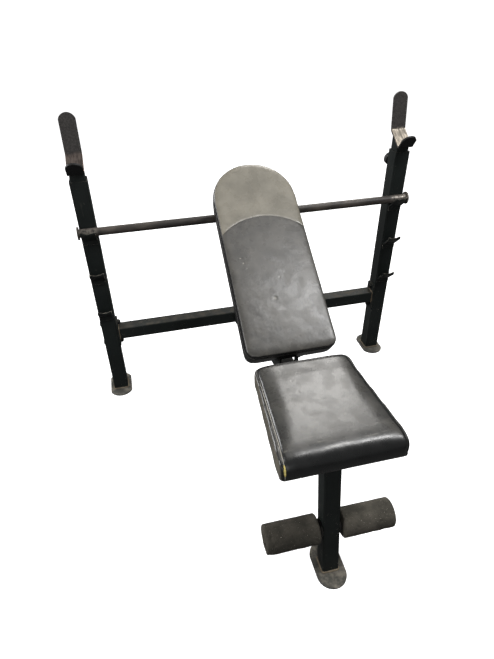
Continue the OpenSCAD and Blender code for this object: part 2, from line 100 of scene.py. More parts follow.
def dress(obj, material, body):
    """Gives a new piece its material and its body."""
    obj.data.materials.clear()
    obj.data.materials.append(material)
    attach(obj, body)
    return obj


# ---- Materials ----

class Look:
    """One procedural material; its methods add nodes and return their output sockets."""

    def __init__(self, name):
        self.material = bpy.data.materials.new(name)
        self.material.use_nodes = True
        self.tree = self.material.node_tree
        self.shader = self.tree.nodes["Principled BSDF"]
        coords = self.tree.nodes.new("ShaderNodeTexCoord")
        self.place = coords.outputs["Object"]
        self.facing = coords.outputs["Normal"]
        self.bumps = None

    def node(self, kind, **inputs):
        made = self.tree.nodes.new(kind)
        for key, value in inputs.items():
            self.put(made.inputs[key.replace("_", " ")], value)
        return made

    def put(self, socket, value):
        if isinstance(value, bpy.types.NodeSocket):
            self.tree.links.new(value, socket)
        else:
            socket.default_value = value

    def set(self, **values):
        for key, value in values.items():
            self.put(self.shader.inputs[key.replace("_", " ")], value)

    def noise(self, scale, detail=3.0, stretch=(1, 1, 1), rough=0.55, twist=0.0):
        at = self.node("ShaderNodeMapping", Vector=self.place, Scale=stretch)
        made = self.node("ShaderNodeTexNoise", Vector=at.outputs[0], Scale=scale, Detail=detail,
                         Roughness=rough, Distortion=twist)
        return made.outputs["Fac"]

    def cells(self, scale):
        return self.node("ShaderNodeTexVoronoi", Vector=self.place, Scale=scale).outputs["Distance"]

    def step(self, value, low, high):
        """0 below low, 1 above high, smooth between; low above high turns it round."""
        made = self.node("ShaderNodeMapRange", Value=value)
        made.interpolation_type = "SMOOTHSTEP"
        if low > high:
            low, high = high, low
            made.inputs["To Min"].default_value = 1.0
            made.inputs["To Max"].default_value = 0.0
        made.inputs["From Min"].default_value = low
        made.inputs["From Max"].default_value = high
        return made.outputs[0]

    def calc(self, how, a, b=0.0):
        """One step of arithmetic, such as "MULTIPLY"."""
        made = self.tree.nodes.new("ShaderNodeMath")
        made.operation = how
        self.put(made.inputs[0], a)
        self.put(made.inputs[1], b)
        return made.outputs[0]

    def both(self, *values):
        result = values[0]
        for value in values[1:]:
            result = self.calc("MULTIPLY", result, value)
        return result

    def part(self, vector, axis):
        made = self.node("ShaderNodeSeparateXYZ", Vector=vector)
        return made.outputs["XYZ".index(axis)]

    def distance(self, x, y):
        """How far a point lies from the upright line through x and y."""
        moved = self.node("ShaderNodeMapping", Vector=self.place, Location=(-x, -y, 0), Scale=(1, 1, 0))
        made = self.tree.nodes.new("ShaderNodeVectorMath")
        made.operation = "LENGTH"
        self.put(made.inputs[0], moved.outputs[0])
        return made.outputs["Value"]

    def mix(self, amount, a, b):
        made = self.tree.nodes.new("ShaderNodeMix")
        made.data_type = "RGBA"
        self.put(made.inputs["Factor"], amount)
        self.put(made.inputs[6], a)
        self.put(made.inputs[7], b)
        return made.outputs[2]

    def blend(self, amount, a, b):
        """A number between a and b."""
        made = self.tree.nodes.new("ShaderNodeMix")
        made.data_type = "FLOAT"
        self.put(made.inputs["Factor"], amount)
        self.put(made.inputs[2], a)
        self.put(made.inputs[3], b)
        return made.outputs[0]

    def bump(self, height, distance, strength=1.0):
        made = self.node("ShaderNodeBump", Height=height, Distance=distance, Strength=strength)
        if self.bumps is not None:
            self.put(made.inputs["Normal"], self.bumps)
        self.bumps = made.outputs[0]
        self.put(self.shader.inputs["Normal"], self.bumps)

    def soft_edges(self, radius):
        """Starts the bumps from a normal that is rounded over sharp edges."""
        made = self.node("ShaderNodeBevel", Radius=radius)
        made.samples = 4
        self.bumps = made.outputs[0]
        self.put(self.shader.inputs["Normal"], self.bumps)
        return made.outputs[0]

    def edges(self, radius):
        """Mask of the sharp edges: how far the rounded normal leans from the flat one."""
        round_normal = self.soft_edges(radius)
        flat = self.tree.nodes.new("ShaderNodeNewGeometry").outputs["Normal"]
        dot = self.tree.nodes.new("ShaderNodeVectorMath")
        dot.operation = "DOT_PRODUCT"
        self.put(dot.inputs[0], round_normal)
        self.put(dot.inputs[1], flat)
        return self.step(self.calc("SUBTRACT", 1.0, dot.outputs["Value"]), 0.02, 0.12)


def painted(name, base, dust, wear, dustiness=0.5, edge=0.5, rough=0.42, scratches=0.5, splash=0.0):
    """Old satin powder coat: cloudy tone, dust on what faces up, rubbed edges, scratches, specks low down."""
    look = Look(name)
    edge_mask = look.edges(1.2 * MM)
    cloud = look.step(look.noise(9, 4), 0.35, 0.7)
    fine = look.noise(420, 2)
    up = look.step(look.part(look.facing, "Z"), 0.35, 0.95)
    patches = look.step(look.noise(38, 5, rough=0.65), 0.42, 0.68)
    lying = look.both(up, look.blend(patches, 0.15, 1.0), dustiness)
    streak = look.step(look.noise(60, 3, stretch=(1.0, 1.0, 0.12), twist=0.4), 0.68, 0.76)
    nick = look.step(look.noise(150, 2), 0.72, 0.78)
    rubbed = look.both(edge_mask, look.step(look.noise(55, 4), 0.40, 0.62), edge)
    lighter = tuple(min(1.0, c * 1.7) for c in base[:3]) + (1.0,)
    colour = look.mix(look.both(cloud, 0.6), base, lighter)
    colour = look.mix(lying, colour, dust)
    colour = look.mix(look.both(streak, 0.35 * scratches), colour, wear)
    colour = look.mix(look.both(nick, 0.6 * scratches), colour, wear)
    colour = look.mix(rubbed, colour, wear)
    low = look.step(look.part(look.place, "Z"), 0.42, 0.12)
    dots = look.both(look.step(look.noise(330, 2), 0.695, 0.73), look.step(look.noise(24, 2), 0.42, 0.6), low)
    colour = look.mix(look.both(dots, splash), colour, tone(196, 190, 178))
    look.set(Base_Color=colour, Specular_IOR_Level=0.25)
    look.set(Roughness=look.blend(lying, look.blend(cloud, rough, rough + 0.12), 0.85))
    look.bump(fine, 0.12 * MM, 0.5)
    look.bump(look.calc("SUBTRACT", 1.0, nick), 0.15 * MM, 0.6)
    return look.material


def foam_rubber():
    """Open-cell foam skin: dark grey-brown with pits, pale nicks and dust."""
    look = Look("foam_rubber")
    cloud = look.step(look.noise(22, 5), 0.3, 0.7)
    grain = look.noise(900, 3)
    pits = look.step(look.cells(420), 0.10, 0.32)
    pale = look.step(look.noise(120, 4, rough=0.7), 0.64, 0.74)
    bits = look.step(look.noise(380, 2), 0.70, 0.73)
    colour = look.mix(cloud, tone(64, 62, 56), tone(92, 88, 80))
    # Darker at the pit centres, which the bump below sinks in: painted shade in the pits.
    colour = look.mix(pits, look.mix(0.5, colour, tone(30, 29, 27)), colour)
    colour = look.mix(look.both(pale, 0.4), colour, tone(150, 144, 132))
    colour = look.mix(look.both(bits, 0.8), colour, tone(190, 184, 172))
    look.set(Base_Color=colour, Roughness=0.93, Specular_IOR_Level=0.2)
    look.bump(pits, 0.5 * MM, 0.8)
    look.bump(grain, 0.3 * MM, 0.6)
    return look.material


def zinc_plate():
    """Zinc-plated steel with faint spangle and stains."""
    look = Look("zinc_steel")
    look.edges(0.6 * MM)
    stain = look.step(look.noise(90, 5, rough=0.65), 0.42, 0.66)
    spangle = look.cells(260)
    colour = look.mix(look.both(stain, 0.8), tone(168, 167, 162), tone(96, 88, 78))
    look.set(Base_Color=colour, Metallic=0.7, Roughness=look.blend(stain, 0.42, 0.67))
    look.bump(spangle, 0.05 * MM, 0.4)
    return look.material


def moulded():
    """Black moulded plastic of the knobs: fine texture, pale dust in the low places."""
    look = Look("black_plastic")
    edge_mask = look.edges(1.0 * MM)
    dust = look.step(look.noise(70, 5), 0.5, 0.75)
    colour = look.mix(look.both(dust, 0.35), tone(26, 26, 27), tone(92, 86, 76))
    colour = look.mix(look.both(edge_mask, 0.3), colour, tone(110, 104, 94))
    look.set(Base_Color=colour, Roughness=look.blend(dust, 0.38, 0.7), Specular_IOR_Level=0.4)
    look.bump(look.noise(700, 2), 0.08 * MM, 0.6)
    return look.material


def plywood():
    """Birch ply: grain and short fibres along the board."""
    look = Look("plywood")
    grain = look.noise(80, 5, stretch=(1.0, 0.05, 0.05), twist=0.4)
    fibre = look.noise(600, 2, stretch=(1.0, 0.03, 0.03))
    colour = look.mix(look.step(grain, 0.35, 0.65), tone(198, 166, 122), tone(164, 126, 84))
    colour = look.mix(look.both(look.step(fibre, 0.55, 0.7), 0.4), colour, tone(120, 88, 56))
    look.set(Base_Color=colour, Roughness=0.72, Specular_IOR_Level=0.3)
    look.bump(fibre, 0.12 * MM, 0.6)
    return look.material


# Places of the right cradle, in metres; the left inner tube is drawn out further by LEFT_RAISE
CRADLE_VALLEY_Y = 0.396
CRADLE_VALLEY_Z = 0.804
CRADLE_BEND_Z = 0.844
LEFT_RAISE = 6 * MM


def cradle_metal(name, valley, bend, bright, rim):
    """Cradle strip: dark paint, rubbed to bare steel on its slope from the height valley up to bend."""
    look = Look(name)
    edge_mask = look.edges(1.5 * MM)
    height = look.part(look.place, "Z")
    ragged = look.calc("MULTIPLY", look.calc("SUBTRACT", look.noise(70, 4), 0.5), 22 * MM)
    level = look.calc("ADD", height, ragged)
    behind = look.step(look.part(look.place, "Y"), CRADLE_VALLEY_Y - 2 * MM, CRADLE_VALLEY_Y + 2 * MM)
    slope = look.both(behind, look.step(level, valley - 2 * MM, valley + 6 * MM),
                      look.step(level, bend + 9 * MM, bend))
    bare = look.both(slope, look.step(look.part(look.facing, "Z"), 0.0, 0.2))
    streak = look.step(look.noise(160, 4, stretch=(1, 0.25, 0.25)), 0.35, 0.65)
    steel = look.mix(streak, tone(*[c * 0.6 for c in bright]), tone(*bright))
    steel = look.mix(edge_mask, steel, tone(*rim))
    grime = look.step(look.noise(240, 4), 0.3, 0.7)
    paint = look.mix(grime, tone(50, 48, 47), tone(72, 69, 67))
    dark = look.mix(grime, tone(18, 19, 20), tone(26, 26, 26))
    paint = look.mix(behind, dark, paint)
    look.set(Base_Color=look.mix(bare, paint, steel), Metallic=look.both(bare, 0.35))
    look.set(Roughness=look.blend(bare, 0.62, 0.33), Specular_IOR_Level=0.3)
    look.bump(grime, 0.12 * MM, 0.5)
    return look.material


def bar_steel():
    """Support bar: brown-black, rubbed grey where it lies in the hooks."""
    look = Look("bar_steel")
    low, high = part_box("right_upright")
    reach = look.calc("ABSOLUTE", look.part(look.place, "X"))
    near = look.calc("ABSOLUTE", look.calc("SUBTRACT", reach, (low.x + high.x) / 2))
    rubbed = look.both(look.step(near, 34 * MM, 16 * MM), look.step(look.noise(90, 4), 0.32, 0.6))
    cloud = look.noise(26, 5, stretch=(0.4, 1, 1))
    colour = look.mix(look.step(cloud, 0.35, 0.7), tone(46, 43, 41), tone(88, 81, 74))
    rust = look.step(look.noise(60, 6, rough=0.7), 0.62, 0.75)
    colour = look.mix(look.both(rust, 0.5), colour, tone(98, 70, 48))
    colour = look.mix(look.both(rubbed, 0.8), colour, tone(138, 132, 124))
    look.set(Base_Color=colour, Roughness=look.blend(rubbed, 0.5, 0.34), Specular_IOR_Level=0.35)
    look.set(Metallic=look.both(rubbed, 0.6))
    look.bump(look.noise(300, 3), 0.1 * MM, 0.5)
    return look.material


def vinyl(name, colour_of, rough=0.34, shine=0.5):
    """Upholstery vinyl: a colour chosen by colour_of(look), leather grain and a satin skin."""
    look = Look(name)
    grain = look.cells(620)
    creases = look.noise(42, 5, rough=0.6)
    colour = colour_of(look)
    look.set(Base_Color=colour, Specular_IOR_Level=shine)
    look.set(Roughness=look.blend(look.step(look.noise(30, 4), 0.35, 0.7), rough, rough + 0.10))
    look.bump(creases, 0.6 * MM, 0.2)
    look.bump(look.step(grain, 0.0, 0.6), 0.06 * MM, 0.4)
    return look.material


# ---- The cushions ----

def slab_frame(node):
    """Axes of a flat board: local Z is its normal, X is the world's X, the origin its low end underneath."""
    mesh = nodes[node].data
    big = max(mesh.polygons, key=lambda p: p.area)
    normal = big.normal.copy()
    if normal.z < 0:
        normal.negate()
    across = Vector((1, 0, 0))
    along = normal.cross(across).normalized()
    turn = Matrix((across, along, normal)).transposed()
    local = points_of(mesh) @ np.array(turn)
    corner = turn @ Vector((0, local[:, 1].min(), local[:, 2].min()))
    return Matrix.Translation(corner) @ turn.to_4x4()


def evaluated_mesh(obj):
    graph = bpy.context.evaluated_depsgraph_get()
    return bpy.data.meshes.new_from_object(obj.evaluated_get(graph))


def apply_modifier(obj, kind, **settings):
    made = obj.modifiers.new(kind, kind)
    for key, value in settings.items():
        setattr(made, key, value)
    mesh = evaluated_mesh(obj)
    obj.modifiers.clear()
    obj.data = mesh


def plan_of(co):
    """Convex outline of the points seen from above, anticlockwise."""
    pts = sorted(set(map(tuple, np.round(co[:, :2], 5))))

    def half(points):
        out = []
        for p in points:
            while len(out) > 1 and ((out[-1][0] - out[-2][0]) * (p[1] - out[-2][1])
                                    - (out[-1][1] - out[-2][1]) * (p[0] - out[-2][0])) <= 0:
                out.pop()
            out.append(p)
        return out[:-1]
    return np.array(half(pts) + half(pts[::-1]))


def edge_distance(xy, outline):
    """How far each point lies inside a convex outline."""
    a, b = outline, np.roll(outline, -1, axis=0)
    along = (b - a) / np.linalg.norm(b - a, axis=1)[:, None]
    inward = np.stack([-along[:, 1], along[:, 0]], 1)
    return np.min([(xy - p) @ n for p, n in zip(a, inward)], axis=0)


def relax(mesh, held, level, rounds):
    """Averages each point with its neighbours; held ones stay and level ones keep their height."""
    co = points_of(mesh)
    height = co[:, 2].copy()
    edges = np.empty(len(mesh.edges) * 2, int)
    mesh.edges.foreach_get("vertices", edges)
    edges = edges.reshape(-1, 2)
    count = np.bincount(edges.ravel(), minlength=len(co)).astype(float)[:, None]
    for _ in range(rounds):
        total = np.stack([np.bincount(edges[:, 0], co[edges[:, 1], k], len(co))
                          + np.bincount(edges[:, 1], co[edges[:, 0], k], len(co)) for k in range(3)], 1)
        co = np.where(held[:, None], co, 0.45 * co + 0.55 * total / count)
        co[level, 2] = height[level]
    set_points(mesh, co)


def inflate(obj, held, pressure, share, cap):
    """Swells the free part with Blender's Cloth, by a share of its travel and never further than cap."""
    before = points_of(obj.data)
    group = obj.vertex_groups.new(name="held")
    group.add([int(i) for i in np.flatnonzero(held)], 1.0, "REPLACE")
    cloth = obj.modifiers.new("Cloth", "CLOTH")
    settings = cloth.settings
    settings.quality = 6
    settings.mass = 0.3
    settings.tension_stiffness = settings.compression_stiffness = 15
    settings.shear_stiffness = 7.5
    settings.bending_stiffness = 2
    settings.air_damping = 4
    settings.use_pressure = True
    settings.uniform_pressure_force = pressure
    settings.vertex_group_mass = "held"
    settings.effector_weights.gravity = 0
    cloth.collision_settings.use_collision = False
    cloth.point_cache.frame_start = 1
    cloth.point_cache.frame_end = SIM_FRAMES
    for step in range(1, SIM_FRAMES + 1):
        bpy.context.scene.frame_set(step)
    rise = np.clip(before[:, 2:] / (18 * MM), 0, 1) ** 2
    move = share * rise * (points_of(evaluated_mesh(obj)) - before)
    far = np.linalg.norm(move, axis=1)
    move *= (np.minimum(far, cap) / np.maximum(far, 1e-9))[:, None]
    obj.modifiers.clear()
    obj.vertex_groups.clear()
    set_points(obj.data, before + move)
    bpy.context.scene.frame_set(1)


def fit(mesh, low, high, floor):
    """Stretches the mesh to fill a box; what lies on the floor stays on it."""
    co = points_of(mesh)
    lo, hi = co.min(0), co.max(0)
    for k in (0, 1):
        co[:, k] = low[k] + (co[:, k] - lo[k]) * (high[k] - low[k]) / (hi[k] - lo[k])
    above = co[:, 2] > floor
    co[above, 2] = floor + (co[above, 2] - floor) * (high[2] - floor) / (hi[2] - floor)
    set_points(mesh, co)


class Cushion:
    """A pad made from its CAD solid: remeshed, rounded like foam, swelled by cloth pressure, fitted back.

    firmness(points) is the share of the CAD shape that each point keeps through the rounding.
    """

    def __init__(self, node, name, placing, board_top, crown, rounds, firmness):
        mesh = nodes[node].data.copy()
        mesh.transform(placing.inverted())
        self.low, self.high = points_of(mesh).min(0), points_of(mesh).max(0)
        self.outline = plan_of(points_of(mesh))
        self.obj = new_object(name, mesh)
        for key in list(self.obj.keys()):
            del self.obj[key]
        apply_modifier(self.obj, "REMESH", mode="VOXEL", voxel_size=5 * MM)
        co = points_of(self.obj.data)
        inside = edge_distance(co[:, :2], self.outline)
        held = (co[:, 2] < board_top + 3 * MM) & (inside > 7 * MM)
        level = co[:, 2] < 2.5 * MM
        free = ~(held | level)
        co[free, 2] *= 1 - crown / self.high[2] * np.clip(co[free, 2] / self.high[2], 0, 1)
        set_points(self.obj.data, co)
        relax(self.obj.data, held, level, 6)
        firm = points_of(self.obj.data)
        relax(self.obj.data, held, level, rounds)
        inflate(self.obj, held | level, pressure=2.0, share=0.45, cap=10 * MM)
        relax(self.obj.data, held, level, 5)
        co = points_of(self.obj.data)
        set_points(self.obj.data, co + firmness(co)[:, None] * (firm - co))
        fit(self.obj.data, self.low, self.high, board_top + 4 * MM)
        apply_modifier(self.obj, "SUBSURF", levels=1)
        self.obj.matrix_world = placing
        self.placing = placing
        self.tree = self.surface()

    def fall_away(self, inside, width, depth):
        """Lets the top sink towards an edge, from width away; inside is each point's distance from it."""
        co = points_of(self.obj.data)
        near = np.clip(1 - inside / width, 0, 1.2) ** 2
        co[:, 2] -= depth * near * np.clip(co[:, 2] / self.high[2], 0, 1) ** 3
        set_points(self.obj.data, co)
        self.tree = self.surface()

    def surface(self):
        made = bmesh.new()
        made.from_mesh(self.obj.data)
        tree = BVHTree.FromBMesh(made)
        made.free()
        return tree

    def drop(self, point, up):
        """Where a ray against up lands on the skin."""
        reach = 60 * MM
        up = Vector(up).normalized()
        hit = self.tree.ray_cast(Vector(point) + up * reach, -up, 2 * reach)
        return hit[0]

    def inset_outline(self, inset):
        """Points along the plan outline, drawn in by inset, with their outward directions."""
        spacing = 6 * MM
        a = self.outline
        b = np.roll(a, -1, axis=0)
        out = []
        for p, q in zip(a, b):
            length = np.linalg.norm(q - p)
            normal = np.array([(q - p)[1], -(q - p)[0]]) / max(length, 1e-9)
            steps = max(1, int(length / spacing))
            for k in range(steps):
                at = p + (q - p) * k / steps
                out.append((at - normal * inset, normal))
        return out

    def push(self, offsets):
        """Moves the skin's points along their normals by offsets."""
        mesh = self.obj.data
        normals = np.empty(len(mesh.vertices) * 3)
        mesh.vertices.foreach_get("normal", normals)
        set_points(mesh, points_of(mesh) + normals.reshape(-1, 3) * np.asarray(offsets)[:, None])

    def groove(self, path, depth, width):
        """Pulls the skin in along a path, as a seam does."""
        dense = resample(path, 1.5 * MM)
        tree = KDTree(len(dense))
        for i, p in enumerate(dense):
            tree.insert(p, i)
        tree.balance()
        away = np.array([tree.find(v.co)[2] for v in self.obj.data.vertices])
        self.push(-depth * np.exp(-(away / width) ** 2))

    def finish(self, material, body, node):
        shade_smooth(self.obj)
        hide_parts(node)
        dress(self.obj, material, body)


def resample(path, spacing):
    """The same path with points every spacing or less."""
    out = []
    for a, b in zip(path, path[1:]):
        a, b = Vector(a), Vector(b)
        steps = max(1, math.ceil((b - a).length / spacing))
        out += [a.lerp(b, k / steps) for k in range(steps)]
    return out + [Vector(path[-1])]


def smoothed(path, rounds, closed):
    """The path with its kinks evened out; an open path keeps its ends."""
    co = np.array([tuple(p) for p in path])
    for _ in range(rounds):
        mean = (np.roll(co, 1, 0) + np.roll(co, -1, 0)) / 2
        if not closed:
            mean[0], mean[-1] = co[0], co[-1]
        co = 0.5 * co + 0.5 * mean
    return [Vector(p) for p in co]


def tube(name, path, radius, closed=False, placing=None):
    """Mesh tube along a path; radius is a number or a function of the step's index."""
    sides = 8
    path = [Vector(p) for p in path]
    count = len(path)
    size = radius if callable(radius) else (lambda i: radius)
    verts, faces = [], []
    normal = None
    for i, p in enumerate(path):
        ahead = path[(i + 1) % count] if closed or i + 1 < count else p
        behind = path[i - 1] if closed or i else p
        along = (ahead - behind).normalized()
        if normal is None:
            normal = along.orthogonal().normalized()
        normal = (normal - along * normal.dot(along)).normalized()
        side = along.cross(normal)
        for k in range(sides):
            turn = 2 * math.pi * k / sides
            verts.append(p + (normal * math.cos(turn) + side * math.sin(turn)) * size(i))
    for i in range(count if closed else count - 1):
        j = (i + 1) % count
        for k in range(sides):
            n = (k + 1) % sides
            faces.append((i * sides + k, i * sides + n, j * sides + n, j * sides + k))
    if not closed:
        faces.append(tuple(range(sides))[::-1])
        faces.append(tuple((count - 1) * sides + k for k in range(sides)))
    return mesh_object(name, verts, faces, placing)


# ---- Setting the pads ----

# Arc that divides the back pad's head panel from its body: its radius and its centre along the pad
HEAD_R = 0.177
HEAD_Y = 0.249
HEM_WIDTH = 22 * MM

# Marks on the skins: place on the pad, size, and how far the tone goes to dark (below 0) or light (above 0)
SEAT_MARKS = [
    ((0.006, 0.160), 3.5 * MM, -0.8), ((-0.049, 0.239), 3 * MM, -0.8), ((-0.046, 0.198), 4 * MM, -0.4),
    ((-0.030, 0.262), 2 * MM, -0.6), ((0.078, 0.262), 3 * MM, -0.5), ((0.048, 0.205), 2.5 * MM, -0.5),
    ((-0.020, 0.120), 2 * MM, -0.5), ((0.022, 0.232), 2 * MM, -0.4)]
BACK_MARKS = [
    ((-0.016, 0.161), 6 * MM, 0.45), ((-0.087, 0.296), 2.5 * MM, 0.8), ((-0.081, 0.279), 3 * MM, 0.7),
    ((-0.074, 0.262), 2 * MM, 0.3), ((0.026, 0.041), 2.5 * MM, -0.5), ((0.012, 0.222), 2.5 * MM, 0.25)]


def seat_pad():
    low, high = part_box("seat_cushion")
    board_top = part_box("seat_board")[1].z
    placing = Matrix.Translation((0, low.y, low.z))
    depth = high.y - low.y

    def firmness(co):
        return 0.45 + 0.5 * np.clip((co[:, 1] - depth + 60 * MM) / (35 * MM), 0, 1)

    pad = Cushion("seat_cushion", "seat_pad", placing, board_top - low.z, 4 * MM, 34, firmness)
    co = points_of(pad.obj.data)
    right = pad.outline[pad.outline[:, 0] > 0]
    right = right[np.argsort(right[:, 1])]
    half_width = np.interp(np.clip(co[:, 1], 20 * MM, depth - 34 * MM), right[:, 1], right[:, 0])
    pad.fall_away(half_width - abs(co[:, 0]), 52 * MM, 7 * MM)
    seam = [pad.drop(p, up) for p, up in seat_seam_line(pad)]
    seam = smoothed([p for p in seam if p is not None], 10, False)
    pad.groove(seam, 2.2 * MM, 4 * MM)
    marks = dents(pad, [(place, size, 0.3 * MM) for place, size, _ in SEAT_MARKS])
    pad.push(marks + fine_creases(pad, 0.16 * MM))
    pad.finish(vinyl("seat_vinyl", seat_colour, 0.25, 0.65), "frame", "seat_cushion")
    welt = tube("seat_piping", seam, 1.0 * MM, placing=placing)
    dress(welt, vinyl("piping_vinyl", piping_colour), "frame")
    torn_seam(seam, placing)
    return pad


def seam_inset(pad, x, y):
    """How far the seat's seam lies in from the plan's edge: more towards the front, less on the right."""
    forward = 1 - min(1, y / pad.high[1])
    return (5 + 8 * forward) * MM if x < 0 else (6 + 3 * forward) * MM


def seat_seam_line(pad):
    """Where the top panel is sewn to the side panels: down both noses, along the sides, round the back."""
    roll = 42 * MM
    high = pad.high[2]
    nose = []
    for k in range(13):
        turn = math.pi / 2 * (1 - k / 12)
        up = (0, -math.sin(turn), math.cos(turn))
        nose.append(((roll * (1 - math.sin(turn)), high - roll + roll * math.cos(turn)), up))
    down = [((0.0, z), (0, -1, 0)) for z in (3 * MM, 7 * MM)]
    ring = []
    for p, normal in pad.inset_outline(0):
        at = p - normal * seam_inset(pad, p[0], p[1])
        if at[1] > roll:
            ring.append(at)
    ring.sort(key=lambda p: -math.atan2(p[0], pad.high[1] / 2 - p[1]) % (2 * math.pi))
    left = [((-(pad.high[0] - seam_inset(pad, -1, 0)), y, z), up) for (y, z), up in down + nose]
    right = [((pad.high[0] - seam_inset(pad, 1, 0), y, z), up) for (y, z), up in down + nose]
    top = [((p[0], p[1], high), (0, 0, 1)) for p in ring]
    return left + top + right[::-1]


def dents(pad, marks):
    """Offsets of shallow round dents with a raised rim: (place on the pad, radius, depth)."""
    co = points_of(pad.obj.data)
    total = np.zeros(len(co))
    top = co[:, 2] > pad.high[2] / 2
    for place, radius, depth in marks:
        away = np.hypot(co[:, 0] - place[0], co[:, 1] - place[1]) / radius
        rim = 0.35 * depth * np.exp(-((away - 1.5) / 0.35) ** 2)
        total += np.where(top, -depth * np.exp(-away ** 2) + rim, 0)
    return total


def fine_creases(pad, depth):
    """Offsets of the skin's soft unevenness, a few millimetres wide."""
    out = []
    for p in points_of(pad.obj.data):
        at = Vector(p)
        out.append(noise.noise(at * 38) * 0.6 + noise.noise(at * 110) * 0.3)
    return depth * np.array(out)


def torn_seam(seam, placing):
    """Yellow foam that shows where the front left seam has opened."""
    part = [p for p in seam if p.x < 0 and p.y < 0.020 and p.z > 12 * MM]
    if len(part) < 3:
        return
    part = resample(part, 2 * MM)
    count = len(part)
    rng = random.Random(5)
    widths = [(0.4 + 2.0 * math.sin(math.pi * i / (count - 1)) ** 0.6 + rng.uniform(-0.3, 0.3)) * MM
              for i in range(count)]
    piece = tube("seat_torn_foam", part, lambda i: widths[i], placing=placing)
    dress(piece, raw_foam(), "frame")


def back_pad():
    placing = slab_frame("back_board")
    pad = Cushion("back_cushion", "back_pad", shifted(placing, -10 * MM), 12 * MM, 3 * MM, 26,
                  lambda co: np.full(len(co), 0.9))
    pad.fall_away(edge_distance(points_of(pad.obj.data)[:, :2], pad.outline), 24 * MM, 1.2 * MM)
    high = pad.high[2]
    ring = pad.inset_outline(0)
    seam = []
    for p, normal in ring:
        hit = pad.tree.ray_cast(Vector((*(p + normal * 0.05), high - 17 * MM)), Vector((*-normal, 0)), 0.1)[0]
        if hit is not None:
            seam.append(hit)
    seam = smoothed(seam, 2, True)
    pad.groove(seam + seam[:1], 1.6 * MM, 3 * MM)
    head = []
    for k in range(-42, 43, 2):
        turn = math.radians(k)
        x, y = HEAD_R * math.sin(turn), HEAD_Y + HEAD_R * math.cos(turn)
        hit = pad.drop((x, y, high), (0, 0, 1))
        if hit is not None:
            head.append(hit)
    pad.groove(head, 1.0 * MM, 2.5 * MM)
    creases = []
    for row in (((-45, 508), (-14, 511), (12, 513), (51, 516)), ((-60, 486), (-26, 482), (15, 476)),
                ((-8, 470), (-6, 520), (-4, 556))):
        creases.append([Vector((x * MM, y * MM, high)) for x, y in row])
    for line in creases:
        pad.groove(line, 0.22 * MM, 3 * MM)
    marks = dents(pad, [(place, size, 0.5 * MM) for place, size, _ in BACK_MARKS])
    pad.push(marks + fine_creases(pad, 0.3 * MM))
    pad.finish(vinyl("back_vinyl", back_colour, 0.25, 0.42), "backrest", "back_cushion")
    welt = tube("back_piping", seam, 1.3 * MM, True, pad.placing)
    dress(welt, vinyl("back_piping_vinyl", dark_piping_colour), "backrest")
    return pad


def hem(pad, name, body):
    """Cover folded under the board: a thin ring with a puckered inner edge, and the staples that hold it."""
    rng = random.Random(17)
    outer = smoothed([(*p, 0) for p, _ in pad.inset_outline(2.5 * MM)], 2, True)
    inner = smoothed([(*p, 0) for p, _ in pad.inset_outline(HEM_WIDTH)], 2, True)
    verts, faces = [], []
    count = len(outer)
    for a, b in zip(outer, inner):
        b = a.lerp(b, rng.uniform(0.86, 1.0))
        fold = rng.uniform(0.2, 0.7) * MM
        middle = a.lerp(b, 0.5)
        verts += [(a.x, a.y, 0.6 * MM), (a.x, a.y, -0.3 * MM), (middle.x, middle.y, -0.6 * MM - fold),
                  (b.x, b.y, -0.7 * MM), (b.x, b.y, 0.6 * MM)]
    for i in range(count):
        j = (i + 1) % count
        for k in range(5):
            n = (k + 1) % 5
            faces.append((i * 5 + k, i * 5 + n, j * 5 + n, j * 5 + k))
    piece = mesh_object(name, verts, faces, pad.placing)
    dress(piece, vinyl(name + "_vinyl", hem_colour), body)
    crowns = bmesh.new()
    for i in range(0, count, 6):
        at = outer[i].lerp(inner[i], 0.72)
        along = (outer[(i + 1) % count] - outer[i - 1]).normalized()
        turn = Matrix.Rotation(math.atan2(along.y, along.x) + rng.uniform(-0.25, 0.25), 4, "Z")
        spot = Matrix.Translation((at.x, at.y, -1.2 * MM)) @ turn
        staple = Matrix.Diagonal((11 * MM, 1.3 * MM, 0.9 * MM, 1))
        bar = bmesh.ops.create_cube(crowns, size=1.0, matrix=spot @ staple)
        edges = list({e for v in bar["verts"] for e in v.link_edges})
        bmesh.ops.bevel(crowns, geom=edges, offset=0.3 * MM, segments=2, affect="EDGES")
    mesh = bpy.data.meshes.new(name + "_staples")
    crowns.to_mesh(mesh)
    crowns.free()
    dress(new_object(name + "_staples", mesh, pad.placing), finishes["zinc_steel"], body)


def hem_colour(look):
    return look.mix(look.step(look.noise(40, 4), 0.35, 0.7), tone(30, 30, 30), tone(58, 56, 52))


def shifted(placing, along):
    """The same placing, moved along its own Y axis."""
    return placing @ Matrix.Translation((0, along, 0))


def marked(look, colour, marks):
    """Adds small ragged scuffs and pits of darker or lighter tone."""
    ragged = look.calc("MULTIPLY", look.calc("SUBTRACT", look.noise(260, 3), 0.5), 7 * MM)
    for (x, y), size, shade_by in marks:
        spot = look.step(look.calc("ADD", look.distance(x, y), ragged), size, 0.4 * size)
        tint = tone(30, 29, 28) if shade_by < 0 else tone(176, 172, 162)
        colour = look.mix(look.both(spot, abs(shade_by)), colour, tint)
    return colour


